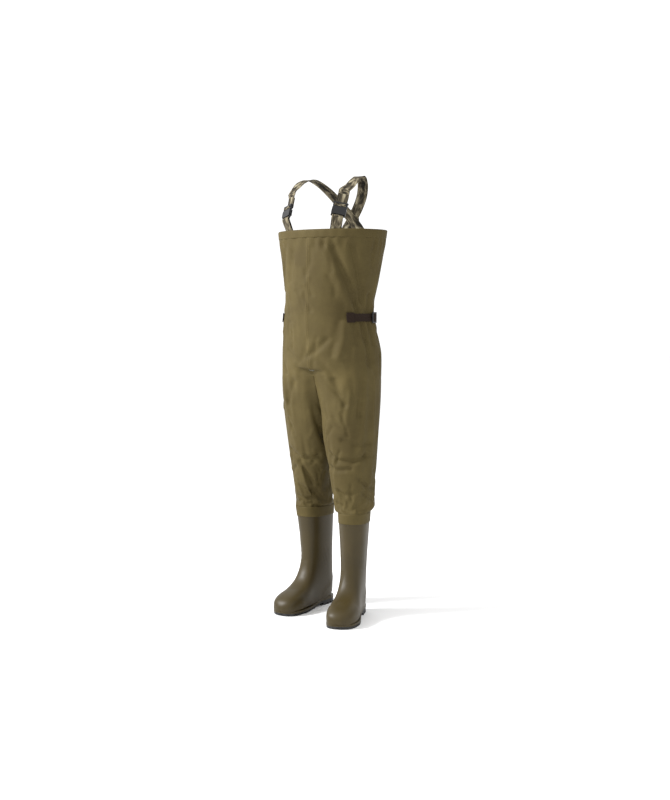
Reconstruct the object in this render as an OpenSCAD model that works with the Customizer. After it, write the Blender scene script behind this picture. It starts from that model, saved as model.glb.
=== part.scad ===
// Bootfoot chest waders, standing as worn: a coated-nylon bib and legs welded to moulded
// wellington boots, held up by webbing braces with side-release buckles.
// +Z is up, the wearer faces -Y and the wearer's left is +X. Millimetres.

/* [Bib] */
// Height of the bib's top edge above the ground
rim_z = 1305; // [1285:1:1320]
// Height of the waist belt's middle
belt_z = 1014; // [1005:1:1022]
// Height of the crotch seam
crotch_z = 820; // [812:1:828]
// Modelled thickness of the coated fabric
fabric_t = 2.5; // [2.2:0.1:3]

/* [Legs] */
// Height of the line where thigh fabric meets shin fabric, at the knee hinge
knee_z = 500; // [480:5:520]
// Half the gap between the two legs' inner walls
leg_gap = 1.5; // [1.2:0.1:2]

/* [Boots] */
// Height of the boot's top edge above the ground
boot_top = 350; // [342:1:354]
// Wall thickness of the moulded boot
boot_t = 3; // [2.6:0.1:3.2]
// Ankle of the wearer's left boot, from the body's axis
left_ankle = [99, -22];
// Ankle of the wearer's right boot, from the body's axis
right_ankle = [-94, 38];
// Turn of the left toes outwards, in degrees
left_toe_out = 22; // [10:1:24]
// Turn of the right toes outwards, in degrees
right_toe_out = 0; // [0:1:6]
// How far each shaft leans outwards at its top
shaft_lean = 5; // [2:1:8]

/* [Braces] */
// Width of the braces' webbing
web_w = 38; // [34:1:39]
// Thickness of the braces' webbing
web_t = 2; // [1.6:0.1:2.2]
// Height of the braces over the shoulders
shoulder_z = 1488; // [1480:1:1500]

/* [Waist belt] */
// Width of the waist belt's webbing
belt_w = 27; // [24:1:28]
// Angle from the side to the belt's front anchor, in degrees
anchor_deg = 40; // [40:5:50]

/* [Hidden] */

// Every node is shifted so that the origin is under the middle of the whole garment.
frame_shift = [-3.64, 52.44, 0];
gap = 0.3;              // clearance between pieces that lie on each other
olive = [0.43, 0.38, 0.24];
boot_green = [0.31, 0.27, 0.17];
webbing_tan = [0.45, 0.42, 0.34];
black = [0.13, 0.13, 0.14];

// ---- surfaces and sweeps ------------------------------------------------------------------

// The bib's half width, front depth and back depth, each as [height, size].
bib_half_width = [[812, 188], [900, 187], [960, 178], [belt_z, 167], [1070, 165], [1130, 174],
                  [1200, 186], [1260, 196], [1320, 204]];
bib_front = [[812, 145], [900, 149], [960, 150], [belt_z, 150], [1100, 150], [1200, 150], [1320, 151]];
bib_back = [[812, 109], [900, 110], [960, 100], [belt_z, 86], [1070, 86], [1130, 98], [1200, 116], [1320, 138]];

// The waist is drawn over to the wearer's right, as [height, shift].
waist_sway = -8;
bib_sway = [[900, 0], [960, waist_sway * 2 / 3], [belt_z, waist_sway], [1070, waist_sway * 2 / 3], [1130, 0]];

// A point on the bib at an angle from the wearer's left side (0), back at 90, front at -90.
function bib_point(angle, z, inset) = [
  lookup(z, bib_sway) + (lookup(z, bib_half_width) - inset) * cos(angle),
  (lookup(z, sin(angle) < 0 ? bib_front : bib_back) - inset) * sin(angle),
  z];

// The leg's centre, half width, half depth and shift to the back, each as [height, size].
// At the crotch a leg follows the bib's own outline and is cut off flat by the centre plane.
leg_centre_x = [[560, 90], [740, 88], [775, 62], [800, 28], [820, 0]];
leg_half_width = [[350, 58], [380, 61], [430, 66], [500, 75], [560, 84], [740, 97], [775, 124], [800, 159], [820, 188]];
leg_half_depth = [[350, 80], [380, 78], [430, 80], [500, 86], [650, 100], [740, 118], [820, 127]];
hip_y = -18;            // the bib hangs forward of the body's axis at the hips

function ankle(side) = side > 0 ? left_ankle : right_ankle;
function toe_out(side) = side > 0 ? left_toe_out : -right_toe_out;
// The middle of a boot's top edge: the shaft leans outwards and widens towards the front.
function boot_mouth(side) = ankle(side) + [side * shaft_lean + sin(toe_out(side)) * 3, -3 * cos(toe_out(side))];
function leg_centre(side, z) =
  let (down = max(0, 560 - z) / (560 - boot_top), drop = (crotch_z - z) / (crotch_z - boot_top))
  [side * lookup(z, leg_centre_x) * (1 - down) + boot_mouth(side).x * down, hip_y * (1 - drop) + boot_mouth(side).y * drop];
function signed_power(value, power) = sign(value) * pow(abs(value), power);

// A point on a leg. The inner wall is flattened where the two legs meet.
function leg_point(side, angle, z, inset) =
  let (centre = leg_centre(side, z),
       x = centre.x + side * (lookup(z, leg_half_width) - inset) * cos(angle),
       y = centre.y + (lookup(z, leg_half_depth) - inset) * sin(angle))
  [side * max(side * x, leg_gap + inset), y, z];

// A solid skinned over stations, each a closed loop of the same number of points.
module skin(stations, ring = false) {
  n = len(stations[0]);
  m = len(stations);
  last = ring ? m : m - 1;
  sides = [for (i = [0:last - 1], j = [0:n - 1])
    let (a = i * n + j, b = i * n + (j + 1) % n, c = (i + 1) % m * n + j, d = (i + 1) % m * n + (j + 1) % n)
    each [[a, b, d], [a, d, c]]];
  far = (m - 1) * n;
  ends = ring ? [] : [for (k = [0:n / 2 - 2])
    let (a = k, b = k + 1, c = n - 2 - k, d = n - 1 - k)
    each [[c, b, a], [d, c, a], [far + a, far + b, far + c], [far + a, far + c, far + d]]];
  polyhedron(points = [for (station = stations) each station], faces = concat(sides, ends), convexity = 8);
}

// A profile of [inset, height] points carried round the bib in steps of 5 degrees.
step_deg = 5;
module bib_band(profile, from, to, ring = false)
  let (steps = (to - from) / step_deg)
  skin([for (i = [0:steps - (ring ? 1 : 0)])
    let (angle = from + (to - from) * i / steps) [for (p = profile) bib_point(angle, p[1], p[0])]], ring);

// A profile of [inset, height] points carried all the way round a leg.
module leg_ring(side, profile, steps)
  skin([for (i = [0:steps - 1])
    let (angle = side * 360 * i / steps) [for (p = profile) leg_point(side, angle, p[1], p[0])]], true);

// A wall between two insets, with its heights from bottom to top.
function wall(outer, inner, heights) = concat(
  [for (z = heights) [outer, z]],
  [for (i = [len(heights) - 1:-1:0]) [inner, heights[i]]]);
function spread(from, to, steps) = [for (i = [0:steps]) from + (to - from) * i / steps];

function unit(v) = v / norm(v);
function tangent(path, i) = unit(path[min(i + 1, len(path) - 1)] - path[max(i - 1, 0)]);

// Flat webbing along a path. across gives the direction of its width at each point.
module ribbon(path, across, width, thick)
  skin([for (i = [0:len(path) - 1])
    let (w = across[i] * width / 2, n = unit(cross(across[i], tangent(path, i))) * thick / 2)
    [path[i] + w + n, path[i] - w + n, path[i] - w - n, path[i] + w - n]]);

function spline_point(a, b, c, d, t) =
  0.5 * ((2 * b) + (c - a) * t + (2 * a - 5 * b + 4 * c - d) * t * t + (3 * b - a - 3 * c + d) * t * t * t);
function spline(points, steps) = concat(
  [for (i = [0:len(points) - 2], k = [0:steps - 1])
    spline_point(points[max(i - 1, 0)], points[i], points[i + 1], points[min(i + 2, len(points) - 1)], k / steps)],
  [points[len(points) - 1]]);

// ---- bib ----------------------------------------------------------------------------------

bib_heights = [crotch_z, 900, 960, belt_z, 1070, 1130, 1200, 1260, rim_z];

// A quarter of the bib, from a side seam to the centre seam, starting at the given angle.
module bib_panel(from)
  color(olive) bib_band(wall(0, fabric_t, bib_heights), from, from + 90);

// The gusset bridges the two legs' inner walls under the crotch seam.
module crotch_gusset()
  color(olive) translate([-9, -96, crotch_z + gap]) cube([18, 192, fabric_t]);

hem_h = 25;             // depth of the folded hem
hem_t = 1.4;            // thickness of the hem's folded fabric
elastic_t = 2.2;        // thickness of the elastic in the hem
hem_inner = fabric_t + elastic_t + 2 * gap;

// The hem folds over the rim: outer leg, top fold and inner leg as one profile.
module hem_casing()
  color(olive) bib_band([
    [-gap - hem_t, rim_z - hem_h], [-gap - hem_t, rim_z + gap + hem_t],
    [hem_inner + hem_t, rim_z + gap + hem_t], [hem_inner + hem_t, rim_z - hem_h],
    [hem_inner, rim_z - hem_h], [hem_inner, rim_z + gap], [-gap, rim_z + gap], [-gap, rim_z - hem_h]],
    0, 360, ring = true);

module hem_elastic()
  color(black) bib_band(wall(fabric_t + gap, fabric_t + gap + elastic_t, [rim_z - 22, rim_z - 3]), 0, 360, ring = true);

tape_t = 0.8;           // thickness of the waterproof seam tape
tape_heights = [crotch_z + 8, 900, 960, belt_z, 1070, 1130, 1200, 1260, rim_z - hem_h - 4];
module centre_tape(angle)
  color([0.35, 0.33, 0.28]) bib_band(
    wall(fabric_t + gap, fabric_t + gap + tape_t, tape_heights), angle - step_deg, angle + step_deg);

// ---- waist belt ---------------------------------------------------------------------------

belt_t = 2;             // thickness of the belt's webbing
belt_low = belt_z - belt_w / 2;
belt_high = belt_z + belt_w / 2;
belt_brown = [0.2, 0.16, 0.14];

module waist_belt()
  color(belt_brown) bib_band(wall(-gap - belt_t, -gap, [belt_low, belt_z, belt_high]), -anchor_deg, 180 + anchor_deg);

// The sewn patch under which each end of the belt is stitched to the bib.
module belt_anchor(side)
  color(belt_brown) bib_band(
    wall(-2 * gap - belt_t - 1.6, -2 * gap - belt_t, [belt_low - 3, belt_z, belt_high + 3]),
    side > 0 ? -anchor_deg : 170 + anchor_deg, side > 0 ? 10 - anchor_deg : 180 + anchor_deg);

loop_t = 1.2;           // thickness of a fabric belt loop
loop_foot = 11;         // height of a loop's sewn foot above and below the belt
module belt_loops()
  color(olive) for (angle = [50, 90, 130])
    bib_band([
      [-gap - loop_t, belt_low - loop_foot], [-gap - loop_t, belt_low - 2],
      [-3 * gap - belt_t - loop_t, belt_low - 1], [-3 * gap - belt_t - loop_t, belt_high + 1],
      [-gap - loop_t, belt_high + 2], [-gap - loop_t, belt_high + loop_foot],
      [-gap, belt_high + loop_foot], [-gap, belt_high + 1],
      [-3 * gap - belt_t, belt_high + 0.5], [-3 * gap - belt_t, belt_low - 0.5],
      [-gap, belt_low - 1], [-gap, belt_low - loop_foot]],
      angle - step_deg, angle + step_deg);

// The belt's path at the side is close to this circle, on which the slider rides.
slider_deg = 4;         // where the slider sits, from the side
slider_r = 104;         // radius of the circle through the slider's stretch of belt
slider_out = gap + belt_t + 3.8;
function slider_seat() = bib_point(slider_deg, belt_z, -slider_out) - [waist_sway, 0, 0];
function slider_axis() = [slider_seat().x - slider_r * cos(slider_turn), slider_seat().y - slider_r * sin(slider_turn)];
slider_turn = 10;       // direction of the belt's normal at the slider

module at_side(side) translate([waist_sway, 0, 0]) mirror([side > 0 ? 0 : 1, 0, 0]) children();
module slider_arc(inner, outer, from, to, low, high)
  translate([slider_axis().x, slider_axis().y, low]) rotate([0, 0, from])
    rotate_extrude(angle = to - from, $fn = 96) translate([inner, 0]) square([outer - inner, high - low]);

frame_h = belt_w / 2 + 5;
module belt_slider(side)
  at_side(side) color(black) difference() {
    slider_arc(slider_r, slider_r + 3, slider_turn - 9, slider_turn + 9, belt_z - frame_h, belt_z + frame_h);
    for (turn = [-6.6, 1.6])
      slider_arc(slider_r - 1, slider_r + 4, slider_turn + turn, slider_turn + turn + 5, belt_low - 1, belt_high + 1);
  }

// The bight of webbing that passes over the slider's middle bar.
module belt_bight(side)
  at_side(side) color(belt_brown) {
    slider_arc(slider_r + 3 + gap, slider_r + 4.8, slider_turn - 4.4, slider_turn + 4.4, belt_low, belt_high);
    for (turn = [-5.9, 4.4])
      slider_arc(slider_r + 0.4, slider_r + 4.8, slider_turn + turn, slider_turn + turn + 1.5, belt_low, belt_high);
  }

// ---- front buckles and braces -------------------------------------------------------------

// The left buckle's frame: across the webbing, up along it, and out of the chest.
buckle_at = [106, -117, 1371];
buckle_up = unit([0.05, 0.38, 1]);
chest_normal = [0.407, -0.913, 0];
buckle_out = unit(chest_normal - (chest_normal * buckle_up) * buckle_up);
buckle_across = cross(buckle_up, buckle_out);

module at_buckle(side)
  mirror([side > 0 ? 0 : 1, 0, 0]) multmatrix([
    [buckle_across.x, buckle_up.x, buckle_out.x, buckle_at.x],
    [buckle_across.y, buckle_up.y, buckle_out.y, buckle_at.y],
    [buckle_across.z, buckle_up.z, buckle_out.z, buckle_at.z],
    [0, 0, 0, 1]]) children();
function from_buckle(p) = buckle_at + buckle_across * p.x + buckle_up * p.y + buckle_out * p.z;

socket_half = 24;       // half width of the buckle
socket_deep = 6;        // half thickness of the socket
cavity_half = 19;       // half width of the socket's cavity
cavity_deep = 3.4;      // half thickness of the socket's cavity

// A flat plate with round corners, built of straight prisms and cylinders.
module round_plate(x0, x1, y0, y1, deep, r)
  linear_extrude(2 * deep, center = true) union() {
    translate([x0 + r, y0]) square([x1 - x0 - 2 * r, y1 - y0]);
    translate([x0, y0 + r]) square([x1 - x0, y1 - y0 - 2 * r]);
    for (x = [x0 + r, x1 - r], y = [y0 + r, y1 - r]) translate([x, y]) circle(r, $fn = 32);
  }

module buckle_socket(side)
  at_buckle(side) color(black) union() {
    difference() {
      round_plate(-socket_half, socket_half, -20, 4, socket_deep, 3);
      translate([-cavity_half, -17, -cavity_deep]) cube([2 * cavity_half, 30, 2 * cavity_deep]);
      for (x = [-socket_half - 1, cavity_half - 1])
        translate([x, -16, -cavity_deep]) cube([6, 11, 2 * cavity_deep]);
    }
    for (x = [-socket_half, socket_half - 4]) translate([x, -27, -2.5]) cube([4, 9, 5]);
    translate([-socket_half + 2, -27, -1.5]) cube([2 * socket_half - 4, 3.5, 3]);
  }

module buckle_plug(side)
  at_buckle(side) color(black) union() {
    difference() {
      union() {
        round_plate(-socket_half, socket_half, 4.6, 22, 4, 2.5);
        round_plate(-socket_half - 2, socket_half + 2, 18.6, 22.6, 4, 1.8);
      }
      for (y = [8, 14.4]) translate([-web_w / 2 - 1, y, -5]) cube([web_w + 2, 3.6, 10]);
    }
    translate([-3, -14, -2.6]) cube([6, 20, 5.2]);
  }

// One springy arm of the plug, with the button that shows in the socket's side window.
module latch(side, outer)
  at_buckle(side) mirror([outer ? 0 : 1, 0, 0]) color(black) union() {
    translate([13, -15.4, -2.8]) cube([3, 19.6, 5.6]);
    translate([15, -13.4, -2.8]) cube([9.6, 7.8, 5.6]);
  }

// The strap that is sewn inside the bib and loops round the socket's bar.
lower_strap_path = [[0, -120, -39.5], [0, -90, -30], [0, -76.4, -24.9], [0, -62.6, -19.2], [0, -46, -7],
                    [0, -31, 3.2], [0, -25.4, 3.2], [0, -22.4, 2.4], [0, -21.4, 0], [0, -22.4, -2.4],
                    [0, -25.4, -3.2], [0, -31, -3.6], [0, -45, -12.2], [0, -62.6, -22.8], [0, -76.4, -28.5],
                    [0, -90, -33.8], [0, -112, -40.8]];
module lower_strap(side)
  at_buckle(side) color(webbing_tan)
    ribbon(lower_strap_path, [for (p = lower_strap_path) [1, 0, 0]], web_w, web_t);

// The brace's threaded end: behind the plug, over the middle bar and back up as the tail.
brace_meets = 56;       // where the threaded end meets the brace, up the webbing from the buckle
brace_end_path = [[0, 50, -8.4], [0, 32, -8.4], [0, 14, -8.4], [0, 11, -7.2], [0, 9.8, -4], [0, 9.8, 4],
                  [0, 10.8, 5.3], [0, 13, 5.7], [0, 15.2, 5.3], [0, 16.2, 4], [0, 16.2, -3.4], [0, 17.6, -5.2],
                  [0, 22, -5.8], [0, 40, -5.8], [0, brace_meets, -5.6]];
module brace_end(side)
  at_buckle(side) color(webbing_tan)
    ribbon(brace_end_path, [for (p = brace_end_path) [1, 0, 0]], web_w, web_t);

// The brace from the buckle over the shoulder, across the back and into the other side's back rim.
cross_step = 1.5;       // half the step between the two braces where they cross
function brace_points(step) = [
  from_buckle([0, brace_meets + gap, -5.6]), from_buckle([0, 63, -5.4]), from_buckle([0, 70, -5.2]),
  [112, -64, 1450], [112, -38, 1470], [109, -14, 1482], [103, 10, shoulder_z], [94, 36, 1482],
  [78, 68, 1461], [54, 95 + step, 1428], [26, 111 + step, 1390], [-3, 119 + step, 1352],
  [-30, 121 + step, 1318], [-46, 115.4, 1290], [-58, 110, 1262], [-66, 104, 1240]];
function brace_path(step) = spline(brace_points(step), 4);
function brace_across(path) = [for (i = [0:len(path) - 1])
  let (t = tangent(path, i),
       round_the_body = unit([0, -t.z, t.y]),
       near_buckle = max(0, 1 - i / 18),
       outward = unit(buckle_out * near_buckle + round_the_body * (1 - near_buckle)))
  unit(cross(t, outward))];

module brace(side)
  mirror([side > 0 ? 0 : 1, 0, 0]) color(webbing_tan)
    ribbon(brace_path(side * cross_step), brace_across(brace_path(side * cross_step)), web_w, web_t);

// The sewn patch over the crossing of the two braces.
module brace_cross_patch()
  let (path = [for (p = brace_path(cross_step)) if (p.z < 1392 && p.z > 1328) [0, p.y + web_t + 0.8, p.z]])
    color(black) ribbon(path, [for (p = path) [-1, 0, 0]], 54, 1.6);

// ---- legs ---------------------------------------------------------------------------------

knee_gap = 0.3;
leg_steps = 32;
thigh_heights = [knee_z + knee_gap, 560, 650, 740, 775, 800, crotch_z - gap];
module thigh_panel(side)
  color(olive) leg_ring(side, wall(0, fabric_t, thigh_heights), leg_steps);

module shin_panel(side)
  color(olive) leg_ring(side, wall(0, fabric_t, [boot_top + 8, 380, 430, knee_z - knee_gap]), leg_steps);

// Waterproof tape inside the inner-leg seam.
module inseam_tape(side)
  let (turn = 360 / leg_steps)
    color([0.35, 0.33, 0.28]) skin([for (z = [knee_z + 30, 560, 650, 740])
      [for (p = [[-turn, 1], [0, 1], [turn, 1], [turn, 0], [0, 0], [-turn, 0]])
        leg_point(side, 180 + side * p[0], z, fabric_t + gap + (p[1] > 0 ? tape_t : 0))]]);

// ---- boots --------------------------------------------------------------------------------

// Stations from the toe to the top edge: [sole or heel side y, z, top or shin side y, z, half width].
boot_stations = [
  [-226, 24, -226, 36, 14], [-220, 18, -218, 50, 32], [-205, 14, -200, 62, 43], [-180, 11, -174, 71, 49.5],
  [-145, 10, -140, 84, 51.5], [-105, 10, -108, 105, 48], [-65, 12, -84, 130, 42], [-10, 14, -69, 158, 39],
  [50, 16, -61, 186, 37.5], [74, 44, -58, 213, 38.5], [72, 104, -60, 238, 40.5], [70, 172, -66, 262, 43.5],
  [72, 242, -74, 292, 47.5], [78, boot_top, -84, boot_top, 52]];
toe_swing = 7;          // how far the toe curves towards the big toe's side
sole_front = 15;        // height of the sole's top under the ball of the foot
sole_heel = 27;         // height of the sole's top under the heel

function sole_top(y) = sole_front + (sole_heel - sole_front) * max(0, min(1, (y + 75) / 60));
function toe_shift(y) = y > -60 ? 0 : -toe_swing * pow((-y - 60) / 168, 2);

function boot_point(station, angle, inset) =
  let (foot = [station[0], station[1]], top = [station[2], station[3]],
       along = unit(top - foot), half = norm(top - foot) / 2 - inset, middle = (foot + top) / 2,
       y = middle.x + along.x * half * signed_power(sin(angle), 0.84) + (station[0] < -200 ? inset : 0),
       z = middle.y + along.y * half * signed_power(sin(angle), 0.84),
       x = (station[4] - inset) * signed_power(cos(angle), 0.84))
  [x + toe_shift(y), y, max(z, sole_top(y) + gap + inset)];
function boot_loop(i, inset) = [for (k = [0:27]) boot_point(boot_stations[i], k * 360 / 28, inset)];

// Shifts the top of a shaft outwards.
function leaned(p) = [p.x + shaft_lean * max(0, p.z - 100) / (boot_top - 100), p.y, p.z];
function leaned_loop(loop) = [for (p = loop) leaned(p)];

module at_boot(side)
  translate([ankle(side).x, ankle(side).y, 0]) rotate([0, 0, toe_out(side)])
    mirror([side > 0 ? 0 : 1, 0, 0]) children();

// A hollow boot-shaped shell between two insets, from its first station near the toe to its open top.
module boot_shell(outer, inner, first, last)
  skin(concat(
    [for (i = [first:last]) leaned_loop(boot_loop(i, outer))],
    [for (i = [last:-1:first]) leaned_loop(boot_loop(i, inner))]));

module boot_upper(side) color(boot_green) at_boot(side) boot_shell(0, boot_t, 0, 13);

lining_t = 1.4;
lining_gap = 1.8;         // glue line between the upper and its lining
module boot_lining(side)
  color([0.3, 0.3, 0.28]) at_boot(side) boot_shell(boot_t + lining_gap, boot_t + lining_gap + lining_t, 1, 12);

// The sole's outline, as the half width at each y.
sole_half_width = [[-229, 0], [-226, 18], [-218, 31], [-205, 42], [-185, 49], [-160, 52.5], [-135, 53], [-105, 48.5],
                   [-70, 40], [-35, 37], [10, 38.5], [40, 38], [60, 31], [70, 20], [75, 0]];
outline_y = [for (i = [0:30]) -77 - 152 * cos(i * 6)];
function sole_outline(inset) = concat(
  [for (y = outline_y) [max(0, lookup(y, sole_half_width) - inset) + toe_shift(y), y * (1 - inset / 152)]],
  [for (i = [29:-1:1]) let (y = outline_y[i])
    [-max(0, lookup(y, sole_half_width) - inset) + toe_shift(y), y * (1 - inset / 152)]]);

insole_t = 4;
insole_up = boot_t + lining_gap + lining_t + 6 * gap;
module boot_insole(side)
  color([0.25, 0.25, 0.24]) at_boot(side)
    intersection() {
      linear_extrude(60) polygon(sole_outline(30));
      across_foot([for (y = [-240, -75, -15, 46]) [y, sole_top(y) + insole_up]],
                  [for (y = [46, -15, -75, -240]) [y, sole_top(y) + insole_up + insole_t]]);
    }

// A side-on [y, z] outline extruded across the foot.
module across_foot(lower, upper)
  rotate([90, 0, 90]) linear_extrude(160, center = true) polygon(concat(lower, upper));

// The line between the black tread and the boot-coloured rand, as [y, z].
tread_line = [[-232, 11], [-215, 9], [-196, 8], [-72, 8], [-60, 10], [-20, 17], [-15, 17], [76, 17]];

// Black tread with toe spring, arch, heel block and cleat grooves.
module outsole(side)
  color(black) at_boot(side) difference() {
    intersection() {
      linear_extrude(60) polygon(sole_outline(0));
      across_foot([[-232, 8], [-215, 3], [-196, 0], [-72, 0], [-62, 4], [-14, 11], [-8, 0], [76, 0]],
                  [for (i = [7:-1:0]) tread_line[i] - [0, gap / 2]]);
    }
    for (y = [-198:15:-78]) translate([-70, y, -1]) cube([140, 6, 7]);
    for (y = [10, 27, 44]) translate([-70, y, -1]) cube([140, 6, 8]);
    translate([-2.5, -240, -1]) cube([5, 360, 6]);
  }

// The rand moulded round the foot between the tread and the upper.
module boot_rand(side)
  color(boot_green) at_boot(side) intersection() {
    linear_extrude(60) polygon(sole_outline(-0.8));
    across_foot([for (p = tread_line) p + [0, gap / 2]],
                [[80, sole_heel], [-8, sole_heel], [-75, sole_front], [-240, sole_front]]);
  }

// The band that welds the leg's hem to the boot's top edge, as a profile of [height, inset] points.
joint_h = 30;
joint_out = 1.1;
joint_t = 1.6;
tape_profile = [[boot_top - joint_h, -joint_out - joint_t], [boot_top - joint_h / 2, -joint_out - joint_t],
                [boot_top + 6, -joint_out - joint_t], [boot_top + 6, -joint_out],
                [boot_top - joint_h / 2, -joint_out], [boot_top - joint_h, -joint_out]];
module joint_tape(side)
  color(olive) at_boot(side) skin([for (k = [0:31])
    [for (p = tape_profile)
      let (up = (p[0] - (boot_top - joint_h)) / joint_h)
      leaned([(50.6 + 1.4 * up - p[1]) * signed_power(cos(k * 11.25), 0.84),
              -1.25 - 1.75 * up + (77.6 + 3.4 * up - p[1]) * signed_power(sin(k * 11.25), 0.84), p[0]])]],
      ring = true);

// ---- nodes --------------------------------------------------------------------------------

translate(frame_shift) {
  bib_panel(-90);  // left_front_panel
  bib_panel(180);  // right_front_panel
  bib_panel(0);  // left_back_panel
  bib_panel(90);  // right_back_panel
  crotch_gusset();
  hem_casing();
  hem_elastic();
  centre_tape(-90);  // centre_front_tape
  centre_tape(90);  // centre_back_tape
  waist_belt();
  belt_anchor(1);  // left_belt_anchor
  belt_anchor(-1);  // right_belt_anchor
  belt_loops();
  belt_slider(1);  // left_belt_slider
  belt_slider(-1);  // right_belt_slider
  belt_bight(1);  // left_belt_bight
  belt_bight(-1);  // right_belt_bight
  lower_strap(1);  // left_lower_strap
  lower_strap(-1);  // right_lower_strap
  buckle_socket(1);  // left_buckle_socket
  buckle_socket(-1);  // right_buckle_socket
  buckle_plug(1);  // left_buckle_plug
  buckle_plug(-1);  // right_buckle_plug
  latch(1, true);  // left_outer_latch
  latch(-1, true);  // right_outer_latch
  latch(1, false);  // left_inner_latch
  latch(-1, false);  // right_inner_latch
  brace_end(1);  // left_brace_end
  brace_end(-1);  // right_brace_end
  brace(1);  // left_brace
  brace(-1);  // right_brace
  brace_cross_patch();
  thigh_panel(1);  // left_thigh_panel
  thigh_panel(-1);  // right_thigh_panel
  inseam_tape(1);  // left_inseam_tape
  inseam_tape(-1);  // right_inseam_tape
  shin_panel(1);  // left_shin_panel
  shin_panel(-1);  // right_shin_panel
  joint_tape(1);  // left_joint_tape
  joint_tape(-1);  // right_joint_tape
  boot_upper(1);  // left_boot_upper
  boot_upper(-1);  // right_boot_upper
  boot_lining(1);  // left_boot_lining
  boot_lining(-1);  // right_boot_lining
  boot_insole(1);  // left_boot_insole
  boot_insole(-1);  // right_boot_insole
  boot_rand(1);  // left_boot_rand
  boot_rand(-1);  // right_boot_rand
  outsole(1);  // left_outsole
  outsole(-1);  // right_outsole
}
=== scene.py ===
import math

import bmesh
import bpy
import numpy as np
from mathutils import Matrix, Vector
from mathutils.bvhtree import BVHTree


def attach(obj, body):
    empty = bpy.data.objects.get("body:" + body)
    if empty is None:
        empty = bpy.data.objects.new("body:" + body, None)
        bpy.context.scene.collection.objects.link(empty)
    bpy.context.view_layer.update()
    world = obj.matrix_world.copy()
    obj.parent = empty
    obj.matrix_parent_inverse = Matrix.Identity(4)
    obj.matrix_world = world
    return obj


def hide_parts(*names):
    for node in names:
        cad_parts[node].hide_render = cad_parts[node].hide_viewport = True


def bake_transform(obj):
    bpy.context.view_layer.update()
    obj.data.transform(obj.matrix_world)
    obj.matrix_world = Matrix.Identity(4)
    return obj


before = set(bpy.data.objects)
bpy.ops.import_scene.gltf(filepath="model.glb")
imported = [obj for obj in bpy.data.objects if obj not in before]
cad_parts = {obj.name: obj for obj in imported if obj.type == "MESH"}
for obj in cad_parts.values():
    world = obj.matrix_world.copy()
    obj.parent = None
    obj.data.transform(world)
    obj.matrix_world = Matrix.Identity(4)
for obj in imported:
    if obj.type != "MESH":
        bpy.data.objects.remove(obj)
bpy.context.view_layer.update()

# ---------------------------------------------------------------------------------------------
# The garment's cloth: olive nylon taffeta coated with PVC on the inside, cut as a bib and two
# legs. It hangs from its hem, is drawn in by the waist belt and is welded to the boots' tops.
# It is simulated as one cloth and then cut into a half bib with its thigh, and a shin, each side.

# From the wearer's axis to the middle of the whole garment's outline, in millimetres.
FRAME_SHIFT = (-3.64, 52.44, 0.0)
BIB_BOTTOM = 820.0
BELT_Z = 1014.0
SIDES = ((1, "left"), (-1, "right"))


def row(points):
    """Millimetres from the wearer's axis to metres in the model's frame."""
    return (np.asarray(points, float) + FRAME_SHIFT) / 1000.0


def smooth(low, high, value):
    t = np.clip((np.asarray(value, float) - low) / (high - low), 0, 1)
    return t * t * (3 - 2 * t)


def waist_sway(z):
    """How far the waist is drawn over to the wearer's right."""
    return np.interp(z, (900, 960, 1014, 1070, 1130), (0, -5.333, -8, -5.333, 0))


def bib_sizes(z):
    """The bib's half width, depth in front of the axis and depth behind it at height z."""
    heights = (812, 900, 960, 1014, 1070, 1130, 1200, 1260, 1320)
    half = np.interp(z, heights, (188, 187, 178, 167, 165, 174, 186, 196, 204))
    front = np.interp(z, heights, (145, 149, 150, 150, 150, 150, 150, 150.5, 151))
    back = np.interp(z, heights, (109, 110, 100, 86, 86, 98, 116, 127, 138))
    return half, front, back


def bib_ring(angles, z, inset=0.0):
    """Points round the bib at height z; angle 0 is the wearer's left side and 90 the back."""
    turn = np.radians(angles)
    half, front, back = bib_sizes(z)
    deep = np.where(np.sin(turn) < 0, front, back)
    x = waist_sway(z) + (half - inset) * np.cos(turn)
    return np.stack([x, (deep - inset) * np.sin(turn), np.full(len(turn), z)], 1)


ANKLE = {1: (99.0, -22.0), -1: (-94.0, 38.0)}
TOE_OUT = {1: 22.0, -1: 0.0}
SHAFT_LEAN = 5.0


def boot_to_row(side, points):
    """Points in a boot's own frame (toe towards -Y) to millimetres from the wearer's axis."""
    turn = math.radians(side * TOE_OUT[side])
    x, y, z = side * points[:, 0], points[:, 1], points[:, 2]
    return np.stack([ANKLE[side][0] + x * math.cos(turn) - y * math.sin(turn),
                     ANKLE[side][1] + x * math.sin(turn) + y * math.cos(turn), z], 1)


def mouth_ring(side, angles, z, proud):
    """The boot's mouth seen from above, a little squarer than an ellipse."""
    turn = np.radians(np.asarray(angles) - TOE_OUT[side])
    up = (z - 320.0) / 30.0
    lean = SHAFT_LEAN * (z - 100.0) / 250.0
    x = (50.6 + 1.4 * up + proud) * np.sign(np.cos(turn)) * np.abs(np.cos(turn)) ** 0.84 + lean
    deep = 77.6 + 3.4 * up + proud
    y = -1.25 - 1.75 * up + deep * np.sign(np.sin(turn)) * np.abs(np.sin(turn)) ** 0.84
    return boot_to_row(side, np.stack([x, y, np.full(len(turn), z)], 1))


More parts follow.
